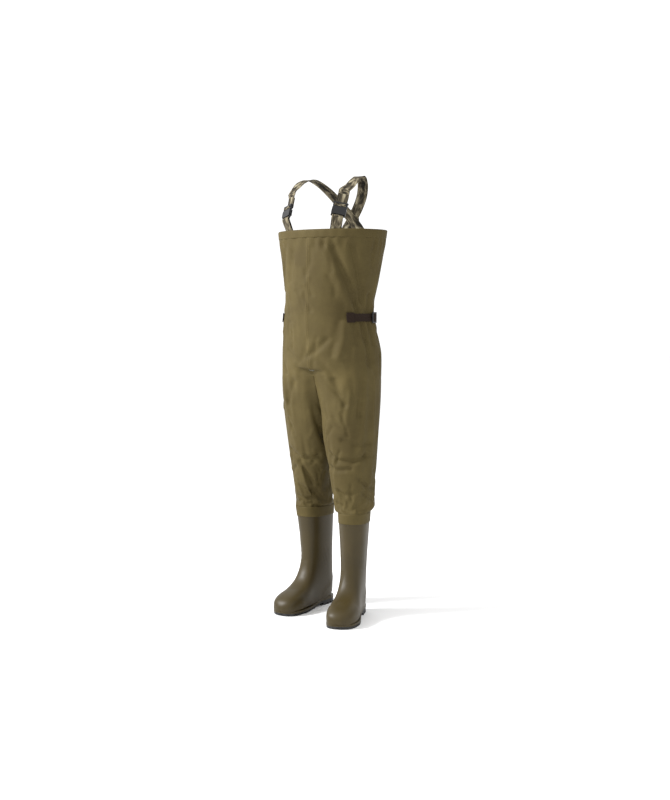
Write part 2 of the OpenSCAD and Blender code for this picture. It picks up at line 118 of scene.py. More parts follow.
def leg_ring(side, angles, z):
    """Points round a leg. At the crotch it is the bib's own outline cut off by the centre plane."""
    turn = np.radians(angles)
    down = max(0.0, 560 - z) / 210
    drop = (820 - z) / 470
    boot = boot_to_row(side, np.array([[SHAFT_LEAN, -3.0, 0.0]]))[0]
    x = side * np.interp(z, (560, 740, 775, 800, 820), (90, 88, 62, 28, 0)) * (1 - down) + boot[0] * down
    y = -18 * (1 - drop) + boot[1] * drop
    half_heights = (350, 380, 430, 500, 560, 740, 775, 800, 820)
    half = np.interp(z, half_heights, (58, 61, 66, 75, 84, 97, 124, 159, 188))
    deep = np.interp(z, (350, 380, 430, 500, 630, 740, 820), (80, 78, 80, 86, 98, 118, 127))
    ring = np.stack([x + side * half * np.cos(turn), y + deep * np.sin(turn), np.full(len(turn), z)], 1)
    ring[:, 0] = side * np.maximum(side * ring[:, 0], 0.0 if z > 815 else 2.0)
    into_boot = 1 - smooth(350, 378, z)
    return ring * (1 - into_boot) + mouth_ring(side, angles, z, 0.2) * into_boot


def leg_middle(side, z):
    return leg_ring(side, np.array([0.0, 180.0]), z).mean(0)


# The cloth is a grid of quads: rings down the bib, then rings down each leg. Region 0 and 1 are
# the left and right bib with thigh, 2 and 3 the shins.
COLUMNS = 96
HALF_COUNT = COLUMNS // 2
KNEE_CUT = 615.0
RIM_GIRTH, LEG_GIRTH = 1.09, 0.55
BIB_ROWS = np.linspace(1304, BIB_BOTTOM, 56)
LEG_ROWS = np.linspace(BIB_BOTTOM, 347, 56)
half_turn = np.linspace(-90, 90, HALF_COUNT + 1)
crotch_turn = np.linspace(90, 270, HALF_COUNT + 1)[1:-1]
bib_turn = np.linspace(-90, 270, COLUMNS + 1)[:-1]
leg_turns = np.concatenate([half_turn, crotch_turn])
points, cloth_uv, faces, region = [], [], [], []


def add_point(place, u):
    points.append(tuple(place))
    cloth_uv.append((u, place[2] / 1000.0))
    return len(points) - 1


def add_ring(places, turns, girth):
    """Adds a ring of points, with the girth laid out flat as their U."""
    return [add_point(p, girth * (turn + 90) / 360) for p, turn in zip(places, turns)]


bib = [add_ring(bib_ring(bib_turn, z), bib_turn, RIM_GIRTH) for z in BIB_ROWS]
for upper, lower in zip(bib[:-1], bib[1:]):
    for i in range(COLUMNS):
        j = (i + 1) % COLUMNS
        faces.append((upper[i], lower[i], lower[j], upper[j]))
        region.append(0 if i < HALF_COUNT else 1)

CROTCH_SAG = 14.0
crotch_places = leg_ring(1, crotch_turn, BIB_BOTTOM)
crotch_places[:, 2] -= CROTCH_SAG * np.sin(np.radians(crotch_turn - 90)) ** 2
crotch = [add_point(p, 0.3) for p in crotch_places]
for side in (1, -1):
    outer = bib[-1][:HALF_COUNT + 1] if side > 0 else (bib[-1][HALF_COUNT:] + bib[-1][:1])[::-1]
    previous = outer + crotch
    for z in LEG_ROWS[1:]:
        ring = add_ring(leg_ring(side, leg_turns, z), leg_turns, LEG_GIRTH)
        for i in range(COLUMNS):
            j = (i + 1) % COLUMNS
            quad = (previous[i], ring[i], ring[j], previous[j])
            faces.append(quad if side > 0 else quad[::-1])
            region.append((0 if side > 0 else 1) + (2 if z < KNEE_CUT else 0))
        previous = ring

rest = row(points)
mesh = bpy.data.meshes.new("garment_cloth")
mesh.from_pydata([tuple(p) for p in rest], [], faces)
mesh.polygons.foreach_set("material_index", region)
uv = mesh.uv_layers.new(name="cloth")
for loop in mesh.loops:
    uv.data[loop.index].uv = cloth_uv[loop.vertex_index]
mesh.validate()
cloth = bpy.data.objects.new("garment_cloth", mesh)
bpy.context.scene.collection.objects.link(cloth)

# The form that the cloth hangs on while it is simulated; it is deleted afterwards.
form_points, form_faces = [], []


def add_tube(rings):
    """Adds a stretch of the form through rings of points."""
    first = len(form_points)
    for ring in rings:
        form_points.extend(tuple(p) for p in row(ring))
    count = len(rings[0])
    for i in range(len(rings) - 1):
        for j in range(count):
            a, b = first + i * count + j, first + i * count + (j + 1) % count
            form_faces.append((a, a + count, b + count, b))


form_turn = np.linspace(0, 360, 41)[:-1]
add_tube([bib_ring(form_turn, z, 9 + 9 * smooth(1080, 1180, z)) for z in np.linspace(1330, 850, 25)])
for side in (1, -1):
    rings = []
    for z in np.linspace(840, 360, 25):
        ring = leg_ring(side, form_turn, z)
        middle = ring.mean(0)
        slim = 0.80 - 0.10 * math.exp(-((z - 430) / 60.0) ** 2)
        rings.append(middle + (ring - middle) * (slim, slim, 1))
    add_tube([ring[::side] for ring in rings])
form_mesh = bpy.data.meshes.new("wearer_form")
form_mesh.from_pydata(form_points, [], form_faces)
form = bpy.data.objects.new("wearer_form", form_mesh)
bpy.context.scene.collection.objects.link(form)


def is_held(x, y, z):
    """Whether a point is sewn in the hem, welded to a boot or gripped by the belt."""
    turn = math.degrees(math.atan2(y, x))
    in_belt = abs(z - BELT_Z) < 13 and not -141 < turn < -39
    return z > 1284 or z < 352 or in_belt


def cut_size(x, y, z):
    """A point of the cloth as it was cut: a little wider than it is worn, and longer below the belt."""
    waist, crotch_height = 1.014, 0.82
    slack = 1.022 if z > crotch_height else 1.035
    if z > waist:
        return x * slack, y * slack, z
    if z >= crotch_height:
        return x * slack, y * slack, waist + (z - waist) * 1.03
    return x * slack, y * slack, waist - 0.194 * 1.03 + (z - crotch_height) * 1.075


LAST_FRAME, MOST_MOVE = 46, 0.028
pins = cloth.vertex_groups.new(name="pins")
pins.add([i for i, place in enumerate(points) if is_held(*place)], 1.0, "REPLACE")
cloth.shape_key_add(name="rest")
cut = cloth.shape_key_add(name="cut")
for i, place in enumerate(rest):
    cut.data[i].co = cut_size(*place)
form.modifiers.new("Collision", "COLLISION")
form.collision.thickness_outer = 0.004
form.collision.cloth_friction = 6
sim = cloth.modifiers.new("Cloth", "CLOTH")
sim.settings.quality = 5
sim.settings.mass = 0.35
sim.settings.tension_stiffness = 25
sim.settings.compression_stiffness = 25
sim.settings.shear_stiffness = 12
sim.settings.bending_stiffness = 1.2
sim.settings.tension_damping = 6
sim.settings.compression_damping = 6
sim.settings.shear_damping = 6
sim.settings.bending_damping = 0.6
sim.settings.air_damping = 2.0
sim.settings.vertex_group_mass = "pins"
sim.settings.rest_shape_key = cut
sim.collision_settings.distance_min = 0.003
sim.collision_settings.collision_quality = 2
sim.point_cache.frame_start = 1
sim.point_cache.frame_end = LAST_FRAME
for step in range(1, LAST_FRAME + 1):
    bpy.context.scene.frame_set(step)
shown = cloth.evaluated_get(bpy.context.evaluated_depsgraph_get())
draped = np.empty(len(points) * 3)
shown.data.vertices.foreach_get("co", draped)
draped = draped.reshape(-1, 3)
move = draped - rest
length = np.linalg.norm(move, axis=1, keepdims=True)
draped = rest + move * np.minimum(1, MOST_MOVE / np.maximum(length, 1e-9))
cloth.modifiers.clear()
cloth.shape_key_clear()
mesh.vertices.foreach_set("co", draped.ravel())
mesh.update()
bpy.context.scene.frame_set(1)
bpy.data.objects.remove(form)

# Each point keeps its place before the drape, in millimetres, and its distance to the nearest
# long seam, so that folds, stitches and trims can be set out from them.


def bib_turn_of(x, y, z):
    """The angle of bib_ring() at which points of the undraped bib lie."""
    half, front, back = bib_sizes(z)
    return np.degrees(np.arctan2(y / np.where(y < 0, front, back), (x - waist_sway(z)) / half))


def seam_distance(place):
    """Millimetres from a point of the undraped cloth to the nearest long seam."""
    x, y, z = place
    if z > BIB_BOTTOM + 0.5:
        turn = float(bib_turn_of(x, y, z))
        return min(abs((turn - seam + 180) % 360 - 180) for seam in (-90, 0, 90, 180)) * 2.6
    side = 1 if x >= 0 else -1
    middle = leg_middle(side, z)
    turn = math.degrees(math.atan2(y - middle[1], side * (x - middle[0])))
    return min(abs(turn), abs(abs(turn) - 180)) * 1.5


place_data = mesh.attributes.new("place", "FLOAT_VECTOR", "POINT")
place_data.data.foreach_set("vector", np.asarray(points, float).ravel())
seam_data = mesh.attributes.new("seam_mm", "FLOAT", "POINT")
seam_data.data.foreach_set("value", [seam_distance(p) for p in points])


def only(obj):
    bpy.ops.object.select_all(action="DESELECT")
    obj.select_set(True)
    bpy.context.view_layer.objects.active = obj


def apply_modifiers(obj):
    only(obj)
    for name in [m.name for m in obj.modifiers]:
        bpy.ops.object.modifier_apply(modifier=name)


finer = cloth.modifiers.new("Finer", "SUBSURF")
finer.levels = finer.render_levels = 1
apply_modifiers(cloth)

# Folds that wear presses in, each along (turn, height) points with a depth and a width.
# Part 0 is the bib, 1 the left leg and -1 the right leg.
FOLDS = (
    (0, ((-62, 1245), (-47, 1155), (-24, 1038)), -7.0, 12),
    (0, ((-69, 1235), (-56, 1150), (-33, 1050)), 3.5, 15),
    (0, ((-42, 1251), (-31, 1164), (-21, 1071)), -6.0, 10),
    (0, ((-21, 1110), (-17, 1065), (-12, 1030)), -5.0, 8),
    (0, ((-9, 1090), (-7, 1030)), -4.0, 7),
    (0, ((-28, 1085), (-27, 1032)), -3.5, 8),
    (0, ((-20, 1000), (-19, 950), (-17, 860)), -6.0, 10),
    (0, ((-30, 998), (-32, 930)), -4.0, 9),
    (0, ((-9, 998), (-8, 925)), -4.0, 8),
    (0, ((-43, 995), (-48, 940), (-56, 885)), 5.0, 13),
    (0, ((-90, 890), (-78, 915), (-66, 945)), -4.0, 10),
    (0, ((-108, 850), (-99, 836), (-92, 824)), -4.0, 9),
    (0, ((-78, 880), (-70, 850), (-64, 825)), -3.5, 12),
    (0, ((-128, 1240), (-140, 1150), (-152, 1055)), -5.0, 12),
    (0, ((-112, 1230), (-120, 1140)), -3.0, 12),
    (0, ((-160, 1090), (-164, 1032)), -4.0, 8),
    (0, ((-150, 995), (-146, 930)), -4.0, 9),
    (0, ((-165, 995), (-164, 920)), -4.0, 8),
    (0, ((-122, 905), (-104, 868)), -3.0, 9),
    (0, ((60, 1240), (52, 1130), (35, 1040)), -5.0, 12),
    (0, ((120, 1240), (130, 1130), (148, 1040)), -5.0, 12),
    (0, ((70, 1100), (66, 1035)), -4.0, 8),
    (0, ((108, 1100), (112, 1035)), -4.0, 8),
    (0, ((75, 990), (70, 900)), -4.5, 10),
    (0, ((105, 990), (112, 900)), -4.5, 10),
    (1, ((-93, 812), (-84, 770), (-70, 730)), -5.0, 10),
    (1, ((-118, 570), (-86, 540), (-55, 538), (-22, 555)), -6.5, 9),
    (1, ((-125, 522), (-92, 508), (-60, 515)), -4.5, 8),
    (1, ((-75, 610), (-40, 590), (-8, 600)), -4.0, 9),
    (1, ((-40, 478), (-10, 448), (25, 440)), -5.0, 8),
    (1, ((-30, 430), (10, 405), (40, 400)), -4.0, 7),
    (1, ((-110, 440), (-80, 425), (-50, 432)), -3.5, 8),
    (1, ((-115, 400), (-90, 388)), -3.0, 6),
    (1, ((60, 540), (95, 520), (140, 545)), -5.0, 9),
    (1, ((-60, 760), (-62, 690), (-70, 640)), 3.0, 14),
    (-1, ((-93, 524), (-110, 490), (-124, 453)), -6.0, 9),
    (-1, ((-60, 565), (-100, 535), (-140, 550)), -5.0, 9),
    (-1, ((-80, 505), (-60, 480)), -4.0, 8),
    (-1, ((-85, 440), (-110, 418), (-140, 425)), -4.5, 8),
    (-1, ((-75, 402), (-100, 388), (-128, 395)), -4.0, 7),
    (-1, ((-30, 480), (0, 455), (35, 470)), -4.5, 8),
    (-1, ((60, 545), (95, 522), (140, 540)), -5.0, 9),
    (-1, ((-95, 800), (-84, 760), (-74, 720)), -4.0, 11),
)
BIB_REACH, LEG_REACH = 160.0, 88.0

# Fine creases: short lines scattered where the cloth crumples, steep round the waist, slanting
# about the hips and lying across the knees and shins.
random_creases = np.random.default_rng(7)
CREASE_AREAS = (
    (0, (-180, 180), (1040, 1240), 38, (60, 100), 26),
    (0, (-180, 180), (850, 985), 34, (40, 80), 40),
    (1, (-170, 170), (560, 800), 24, (30, 75), 48),
    (-1, (-170, 170), (560, 800), 24, (30, 75), 48),
    (1, (-170, 170), (385, 560), 36, (20, 48), 84),
    (-1, (-170, 170), (385, 560), 36, (20, 48), 84))


def scattered(part, turns, heights, count, lengths, spread):
    """Short creases; spread is how far they may lean from upright, in degrees."""
    made = []
    for _ in range(count):
        turn, z = random_creases.uniform(*turns), random_creases.uniform(*heights)
        length = random_creases.uniform(*lengths)
        lean = math.radians(random_creases.uniform(-spread, spread))
        depth = random_creases.choice((-2.4, -1.7, 1.3))
        width = random_creases.uniform(5.5, 8.5)
        reach = BIB_REACH if part == 0 else LEG_REACH
        across = math.degrees(math.sin(lean) * length / 2 / reach)
        up = math.cos(lean) * length / 2
        bow = random_creases.uniform(-3, 3)
        line = ((turn - across, z - up), (turn + bow, z), (turn + across, z + up))
        made.append((part, line, depth, width))
    return made


CREASES = [crease for area in CREASE_AREAS for crease in scattered(*area)]


def gathers(turns, count, drift, beats):
    """A wave of small puckers round the body, with their spacing drifting a little."""
    turn = np.radians(turns)
    return np.sin(turn * count + drift * np.sin(turn * beats))


def fold_depth(place, normal_turn, part):
    """How far the set folds move each point along its normal, in millimetres."""
    total = np.zeros(len(place))
    for fold_part, line, depth, width in list(FOLDS) + CREASES:
        reach = BIB_REACH if fold_part == 0 else LEG_REACH
        nearest = np.full(len(place), 1e9)
        for (turn_a, z_a), (turn_b, z_b) in zip(line[:-1], line[1:]):
            a = np.array([0.0, z_a])
            b = np.array([math.radians(turn_b - turn_a) * reach, z_b])
            p = np.stack([np.radians((normal_turn - turn_a + 180) % 360 - 180) * reach, place[:, 2]], 1)
            along = np.clip(((p - a) @ (b - a)) / ((b - a) @ (b - a)), 0, 1)
            nearest = np.minimum(nearest, np.linalg.norm(p - a - along[:, None] * (b - a), axis=1))
        total += np.where(part == fold_part, depth * np.exp(-((nearest / width) ** 2)), 0.0)
    return total


def read(data, field, width=1):
    """One field of every point, as an array."""
    values = np.empty(len(data) * width)
    data.foreach_get(field, values)
    return values.reshape(-1, width) if width > 1 else values


place = read(mesh.attributes["place"].data, "vector", 3)
part = np.where(place[:, 2] > BIB_BOTTOM + 0.5, 0, np.where(place[:, 0] >= 0, 1, -1))
normal_turn = bib_turn_of(place[:, 0], place[:, 1], place[:, 2])
middle_heights = np.arange(300, 825, 5.0)
for side in (1, -1):
    middles = np.array([leg_middle(side, z) for z in middle_heights])
    middle_x = np.interp(place[:, 2], middle_heights, middles[:, 0])
    middle_y = np.interp(place[:, 2], middle_heights, middles[:, 1])
    leg_turn = np.degrees(np.arctan2(place[:, 1] - middle_y, side * (place[:, 0] - middle_x)))
    normal_turn = np.where(part == side, leg_turn, normal_turn)

spot = read(mesh.vertices, "co", 3)
normals = read(mesh.vertex_normals, "vector", 3)
height = place[:, 2]
from_belt = np.abs(height - BELT_Z)
below_hem = 1 - smooth(1276, 1284, height)
fade = smooth(352, 385, height) * (1 - smooth(1262, 1282, height)) * smooth(4, 12, from_belt)
lift = 1.5 * fold_depth(place, normal_turn, part) * fade
pucker = (gathers(normal_turn, 31, 1.7, 5) * np.exp(-((height - 1262) / 26.0) ** 2)
          * below_hem * np.where(part == 0, 1.6, 0))
waist = (gathers(normal_turn, 37, 2.1, 7)
         * (np.exp(-((height - 1040) / 22.0) ** 2) + np.exp(-((height - 988) / 22.0) ** 2))
         * smooth(12, 20, from_belt) * np.where(part == 0, 2.0, 0)
         * smooth(38, 60, np.abs(normal_turn + 90)))
seam = read(mesh.attributes["seam_mm"].data, "value")
welt = 1.1 * np.exp(-(seam / 4.0) ** 2) * below_hem * smooth(372, 390, height)
spot += normals * (lift + pucker + waist + welt)[:, None] / 1000.0

# The legs round off towards each other, so that a groove runs down between them from the crotch.
centre_x, centre_y, _ = row([(0, 0, 0)])[0]
groove_span = (1 - smooth(770, 862, height)) * smooth(600, 700, height)
inward = 0.018 * np.exp(-(((spot[:, 0] - centre_x) / 0.026) ** 2)) * groove_span
front_share = np.clip((centre_y - 0.018 - spot[:, 1]) / 0.12, -1, 1)
spot[:, 1] += inward * np.where(front_share > 0, front_share, 0.7 * front_share)

# The legs keep to their own sides, and their inner walls part below the crotch.
apart = 1.6 * (1 - smooth(770, 806, height))
for side in (1, -1):
    mine = part == side
    spot[mine, 0] = centre_x + side * np.maximum(side * (spot[mine, 0] - centre_x), apart[mine] / 1000.0)
mesh.vertices.foreach_set("co", spot.ravel())
mesh.update()

# The surface that trims are laid on, before the cloth is cut into its pieces.
cloth_tree = BVHTree.FromPolygons([tuple(p) for p in spot], [tuple(f.vertices) for f in mesh.polygons])


def on_cloth(part, turns, z, proud):
    """Points on the cloth at each angle at height z, standing proud by so many millimetres."""
    if part == 0:
        ring, middle = bib_ring(turns, z), np.array([waist_sway(z), 0.0, z])
    else:
        ring, middle = leg_ring(part, np.asarray(turns, float), z), leg_middle(part, z)
    found = []
    for outer in row(ring):
        inner = Vector(row([middle])[0])
        way = (Vector(outer) - inner).normalized()
        hit = cloth_tree.ray_cast(inner, way)
        place = hit[0] if hit[0] is not None else Vector(outer)
        found.append(place + way * proud / 1000.0)
    return found


def strip(name, rows, thick, uv_size, closed=False):
    """A band of cloth or webbing from rows of points, thickened to both sides; UV in metres."""
    count = len(rows[0])
    verts = [tuple(p) for line in rows for p in line]
    quads = []
    for i in range(len(rows) - 1):
        for j in range(count if closed else count - 1):
            k = (j + 1) % count
            quads.append((i * count + j, i * count + k, (i + 1) * count + k, (i + 1) * count + j))
    made = bpy.data.meshes.new(name)
    made.from_pydata(verts, [], quads)
    layer = made.uv_layers.new(name="cloth")
    steps_along = count if closed else count - 1
    for face in made.polygons:
        for k, loop in enumerate(face.loop_indices):
            i, j = divmod(made.loops[loop].vertex_index, count)
            if closed and j == 0 and k in (1, 2):
                j = count
            layer.data[loop].uv = (uv_size[0] * j / steps_along, uv_size[1] * i / (len(rows) - 1))
    made.validate()
    obj = bpy.data.objects.new(name, made)
    bpy.context.scene.collection.objects.link(obj)
    skin = obj.modifiers.new("Thickness", "SOLIDIFY")
    skin.thickness = thick / 1000.0
    skin.offset = 0
    apply_modifiers(obj)
    for face in obj.data.polygons:
        face.use_smooth = True
    return obj


def paint(obj, *materials):
    obj.data.materials.clear()
    for material in materials:
        obj.data.materials.append(material)


def sewn_piece(obj, material, node, body):
    """Finishes a flat piece that stands for one CAD node and rides on one body."""
    paint(obj, material)
    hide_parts(node)
    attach(obj, body)


def linear(hex_colour):
    """An sRGB colour written as #rrggbb, as linear RGBA."""
    parts = [int(hex_colour[i:i + 2], 16) / 255 for i in (1, 3, 5)]
    return [p / 12.92 if p <= 0.04045 else ((p + 0.055) / 1.055) ** 2.4 for p in parts] + [1.0]


def new_material(name):
    material = bpy.data.materials.new(name)
    material.use_nodes = True
    tree = material.node_tree
    tree.nodes.clear()
    shader = tree.nodes.new("ShaderNodeBsdfPrincipled")
    output = tree.nodes.new("ShaderNodeOutputMaterial")
    tree.links.new(shader.outputs["BSDF"], output.inputs["Surface"])
    return material, tree, shader


def add(tree, kind, settings=None, links=None, **properties):
    """Adds a shader node with its properties, its input values and its links in."""
    node = tree.nodes.new("ShaderNode" + kind)
    for key, value in properties.items():
        setattr(node, key, value)
    for key, value in (settings or {}).items():
        node.inputs[key].default_value = value
    for key, value in (links or {}).items():
        tree.links.new(value, node.inputs[key])
    return node


def object_noise(tree, scale, detail, roughness=0.5):
    """A noise fixed to the object, of so many grains per metre."""
    coordinates = add(tree, "TexCoord")
    settings = {"Scale": scale, "Detail": detail, "Roughness": roughness}
    return add(tree, "TexNoise", settings, {"Vector": coordinates.outputs["Object"]})


def cloth_uv_input(tree):
    """The piece's own UV, in metres along and across it."""
    return {"Vector": add(tree, "UVMap", uv_map="cloth").outputs["UV"]}


def finish(tree, shader, colour, roughness, specular=0.5):
    tree.links.new(colour, shader.inputs["Base Color"])
    shader.inputs["Roughness"].default_value = roughness
    shader.inputs["Specular IOR Level"].default_value = specular


def emboss(tree, shader, height, strength, depth):
    """Raises the surface with a height pattern, by up to so many millimetres."""
    bump = add(tree, "Bump", {"Strength": strength, "Distance": depth / 1000}, {"Height": height})
    tree.links.new(bump.outputs["Normal"], shader.inputs["Normal"])


def ramp(tree, source, stops):
    """A colour ramp with (position, colour) stops."""
    node = add(tree, "ValToRGB", links={"Fac": source})
    node.color_ramp.elements[0].position, node.color_ramp.elements[0].color = stops[0]
    node.color_ramp.elements[1].position, node.color_ramp.elements[1].color = stops[-1]
    for position, colour in stops[1:-1]:
        node.color_ramp.elements.new(position).color = colour
    return node.outputs["Color"]


# Olive nylon taffeta: a fine flat weave, unevenly faded and crinkled, with a row of stitching on
# each side of every long seam.
STITCH_LENGTH, STITCH_INSET = 0.0032, 3.4
nylon, tree, shader = new_material("olive_nylon_taffeta")
faded = object_noise(tree, 7.0, 4.0, 0.6)
tint = ramp(tree, faded.outputs["Fac"], (
    (0.32, linear("#41371c")), (0.55, linear("#493f22")), (0.75, linear("#524728"))))
coordinates = add(tree, "TexCoord")
along = add(tree, "SeparateXYZ", links={"Vector": coordinates.outputs["Object"]})
turns = add(tree, "Math", {1: 2 * math.pi / STITCH_LENGTH}, {0: along.outputs["Z"]}, operation="MULTIPLY")
wave = add(tree, "Math", links={0: turns.outputs[0]}, operation="SINE")
thread = add(tree, "Math", {1: -0.35}, {0: wave.outputs[0]}, operation="GREATER_THAN")
seam_value = add(tree, "Attribute", attribute_name="seam_mm")
near = add(tree, "Math", {1: STITCH_INSET, 2: 0.45}, {0: seam_value.outputs["Fac"]}, operation="COMPARE")
stitch = add(tree, "Math", links={0: thread.outputs[0], 1: near.outputs[0]}, operation="MULTIPLY")
stitched = add(tree, "Mix", links={"Factor": stitch.outputs[0], 6: tint}, data_type="RGBA")
stitched.inputs[7].default_value = linear("#5a4d2b")
weft = add(tree, "TexWave", {"Scale": 330.0, "Distortion": 1.2, "Detail": 1.0},
           {"Vector": coordinates.outputs["Object"]}, bands_direction="Z")
crinkle = object_noise(tree, 120.0, 5.0, 0.65)
weave = add(tree, "Math", {1: 0.25}, {0: weft.outputs["Fac"], 2: crinkle.outputs["Fac"]},
            operation="MULTIPLY_ADD")
emboss(tree, shader, weave.outputs[0], 0.22, 0.6)
finish(tree, shader, stitched.outputs[2], 0.72, 0.16)

# The PVC coating on the fabric's inner face: a smooth dull grey-green film with a faint grain.
coating, tree, shader = new_material("grey_pvc_coating")
grain = object_noise(tree, 260.0, 3.0)
tone = ramp(tree, grain.outputs["Fac"], ((0.3, linear("#4f4d40")), (0.7, linear("#5c5a4b"))))
emboss(tree, shader, grain.outputs["Fac"], 0.12, 0.4)
finish(tree, shader, tone, 0.55)

# The cloth is cut into its four pieces. Each keeps the whole cloth's normals at the cut edges.
whole_normals = read(mesh.vertex_normals, "vector", 3)
shared = mesh.attributes.new("shared_normal", "FLOAT_VECTOR", "POINT")
shared.data.foreach_set("vector", whole_normals.ravel())
PIECES = ("left_bib_and_thigh", "right_bib_and_thigh", "left_shin_cloth", "right_shin_cloth")


def cut_piece(index):
    """One piece of the garment, with its thickness, keeping the whole cloth's normals."""
    piece = cloth.copy()
    piece.data = mesh.copy()
    piece.name = piece.data.name = PIECES[index]
    bpy.context.scene.collection.objects.link(piece)
    faces_of = bmesh.new()
    faces_of.from_mesh(piece.data)
    away = [f for f in faces_of.faces if f.material_index != index]
    bmesh.ops.delete(faces_of, geom=away, context="FACES")
    faces_of.to_mesh(piece.data)
    faces_of.free()
    for face in piece.data.polygons:
        face.material_index = 0
        face.use_smooth = True
    paint(piece, nylon, coating)
    skin = piece.modifiers.new("Thickness", "SOLIDIFY")
    skin.thickness = 0.0009
    skin.offset = -1
    skin.material_offset = 1
    apply_modifiers(piece)
    data = piece.data
    kept = read(data.attributes["shared_normal"].data, "vector", 3)
    corners = np.zeros((len(data.loops), 3))
    for face in data.polygons:
        normal = np.array(face.normal)
        for loop in face.loop_indices:
            shared_normal = kept[data.loops[loop].vertex_index]
            facing = float(shared_normal @ normal)
            corners[loop] = normal if abs(facing) < 0.35 else shared_normal * (1 if facing > 0 else -1)
    data.normals_split_custom_set([tuple(c) for c in corners])
    return piece


garment = {PIECES[i]: cut_piece(i) for i in range(4)}
bpy.data.objects.remove(cloth)
for side, hand in SIDES:
    upper = garment[hand + "_bib_and_thigh"]
    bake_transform(upper)
    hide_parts(hand + "_front_panel", hand + "_back_panel", hand + "_thigh_panel")
    shin = garment[hand + "_shin_cloth"]
    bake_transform(shin)
    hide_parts(hand + "_shin_panel")
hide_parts("crotch_gusset")

# ---------------------------------------------------------------------------------------------
# The hem: the bib's top edge, folded inside over a woven elastic that draws it into small
# puckers, and stitched down 25 mm below the edge.

rim_turn = np.linspace(-90, 270, 193)[:-1]
tucks = 0.5 * gathers(rim_turn, 31, 1.7, 5)
HEM = ((1.6, 1278.8), (-0.6, 1279.8), (-0.8, 1283), (-0.8, 1299), (-0.6, 1304), (0.8, 1306.2),
       (2.6, 1306.2), (4.2, 1304), (4.7, 1299), (4.8, 1286), (4.5, 1281))
rows = []
for inset, z in HEM:
    gathered = tucks * (1.0 if z < 1300 else 0.5)
    rows.append(row(bib_ring(rim_turn, z, inset + gathered)))
hem = strip("hem", rows[::-1], 0.8, (RIM_GIRTH, 0.062), closed=True)
sewn_piece(hem, nylon, "hem_casing", "bib")

# Black elastic, woven with ribs along its length.
elastic_knit, tree, shader = new_material("black_woven_elastic")
ribs = add(tree, "TexWave", {"Scale": 160.0}, cloth_uv_input(tree), bands_direction="Y")
tone = ramp(tree, ribs.outputs["Fac"], ((0.2, linear("#17171a")), (0.8, linear("#26262a"))))
finish(tree, shader, tone, 0.8)
rows = [row(bib_ring(rim_turn, z, 2.4)) for z in (1302, 1297, 1292, 1287, 1283)]
elastic = strip("hem_elastic_band", rows, 1.5, (1.08, 0.019), closed=True)
sewn_piece(elastic, elastic_knit, "hem_elastic", "bib")

# ---------------------------------------------------------------------------------------------
# Seam tapes: strips of waterproof film ironed over the centre seams and the inner-leg seams on
# the inside of the cloth.

# A satin, slightly mottled film.
film, tree, shader = new_material("satin_seam_film")
mottle = object_noise(tree, 90.0, 2.0)
tone = ramp(tree, mottle.outputs["Fac"], ((0.35, linear("#54524a")), (0.65, linear("#626054"))))
finish(tree, shader, tone, 0.4)
TAPE_WIDTH = 0.022


def seam_tape(name, part, turn, half_turn_deg, heights):
    """A tape down the inside of the cloth, centred on one angle."""
    turns = np.linspace(turn - half_turn_deg, turn + half_turn_deg, 7)
    rows = [on_cloth(part, turns, z, -1.7) for z in heights]
    return strip(name, rows, 0.3, (TAPE_WIDTH, (heights[0] - heights[-1]) / 1000))


for name, turn in (("centre_front", -90), ("centre_back", 90)):
    tape = seam_tape(name + "_film", 0, turn, 4, np.linspace(1274, 832, 60))
    sewn_piece(tape, film, name + "_tape", "bib")
for side, hand in SIDES:
    tape = seam_tape(hand + "_inseam_film", side, 180, 7, np.linspace(700, 540, 26))
    paint(tape, film)
    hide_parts(hand + "_inseam_tape")
    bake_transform(tape)

# ---------------------------------------------------------------------------------------------
# The waist belt: dark brown flat webbing that lies round the back from one front anchor to the
# other. Sewn patches hold its ends, three fabric loops hold it at the back, and a slider with a
# bight of webbing sits at each side.

# Dark brown polyester webbing, ribbed across.
brown, tree, shader = new_material("dark_brown_webbing")
ribs = add(tree, "TexWave", {"Scale": 105.0, "Distortion": 0.4}, cloth_uv_input(tree), bands_direction="X")
threads = add(tree, "TexNoise", {"Scale": 420.0, "Detail": 3.0}, cloth_uv_input(tree))
tone = ramp(tree, threads.outputs["Fac"], ((0.3, linear("#1d140e")), (0.7, linear("#281d16"))))
emboss(tree, shader, ribs.outputs["Fac"], 0.5, 0.5)
finish(tree, shader, tone, 0.75, 0.12)


def soften(obj, width, segments=2, per_metre=1000.0):
    """Rounds an object's sharp edges by so many millimetres."""
    edge = obj.modifiers.new("Edges", "BEVEL")
    edge.width = width / per_metre
    edge.segments = segments
    edge.limit_method = "ANGLE"
    edge.angle_limit = math.radians(40)


BELT_WIDTH = 0.027
BELT_HEIGHTS = (1027.2, 1024, 1019, BELT_Z, 1009, 1004, 1000.8)
belt_turn = np.linspace(-40, 220, 181)
belt = strip("belt", [row(bib_ring(belt_turn, z, -1.5)) for z in BELT_HEIGHTS], 1.8, (0.72, BELT_WIDTH))
soften(belt, 0.5)
apply_modifiers(belt)
sewn_piece(belt, brown, "waist_belt", "bib")

for side, hand in SIDES:
    turns = np.linspace(-40.3, -30.3, 9)
    turns = turns if side > 0 else 180 - turns[::-1]
    rows = [row(bib_ring(turns, z, -3.5)) for z in (1030.5, 1028, 1021, BELT_Z, 1007, 1000, 997.5)]
    patch = strip(hand + "_anchor_patch", rows, 1.5, (0.028, 0.033))
    soften(patch, 0.5)
    apply_modifiers(patch)
    sewn_piece(patch, brown, hand + "_belt_anchor", "bib")

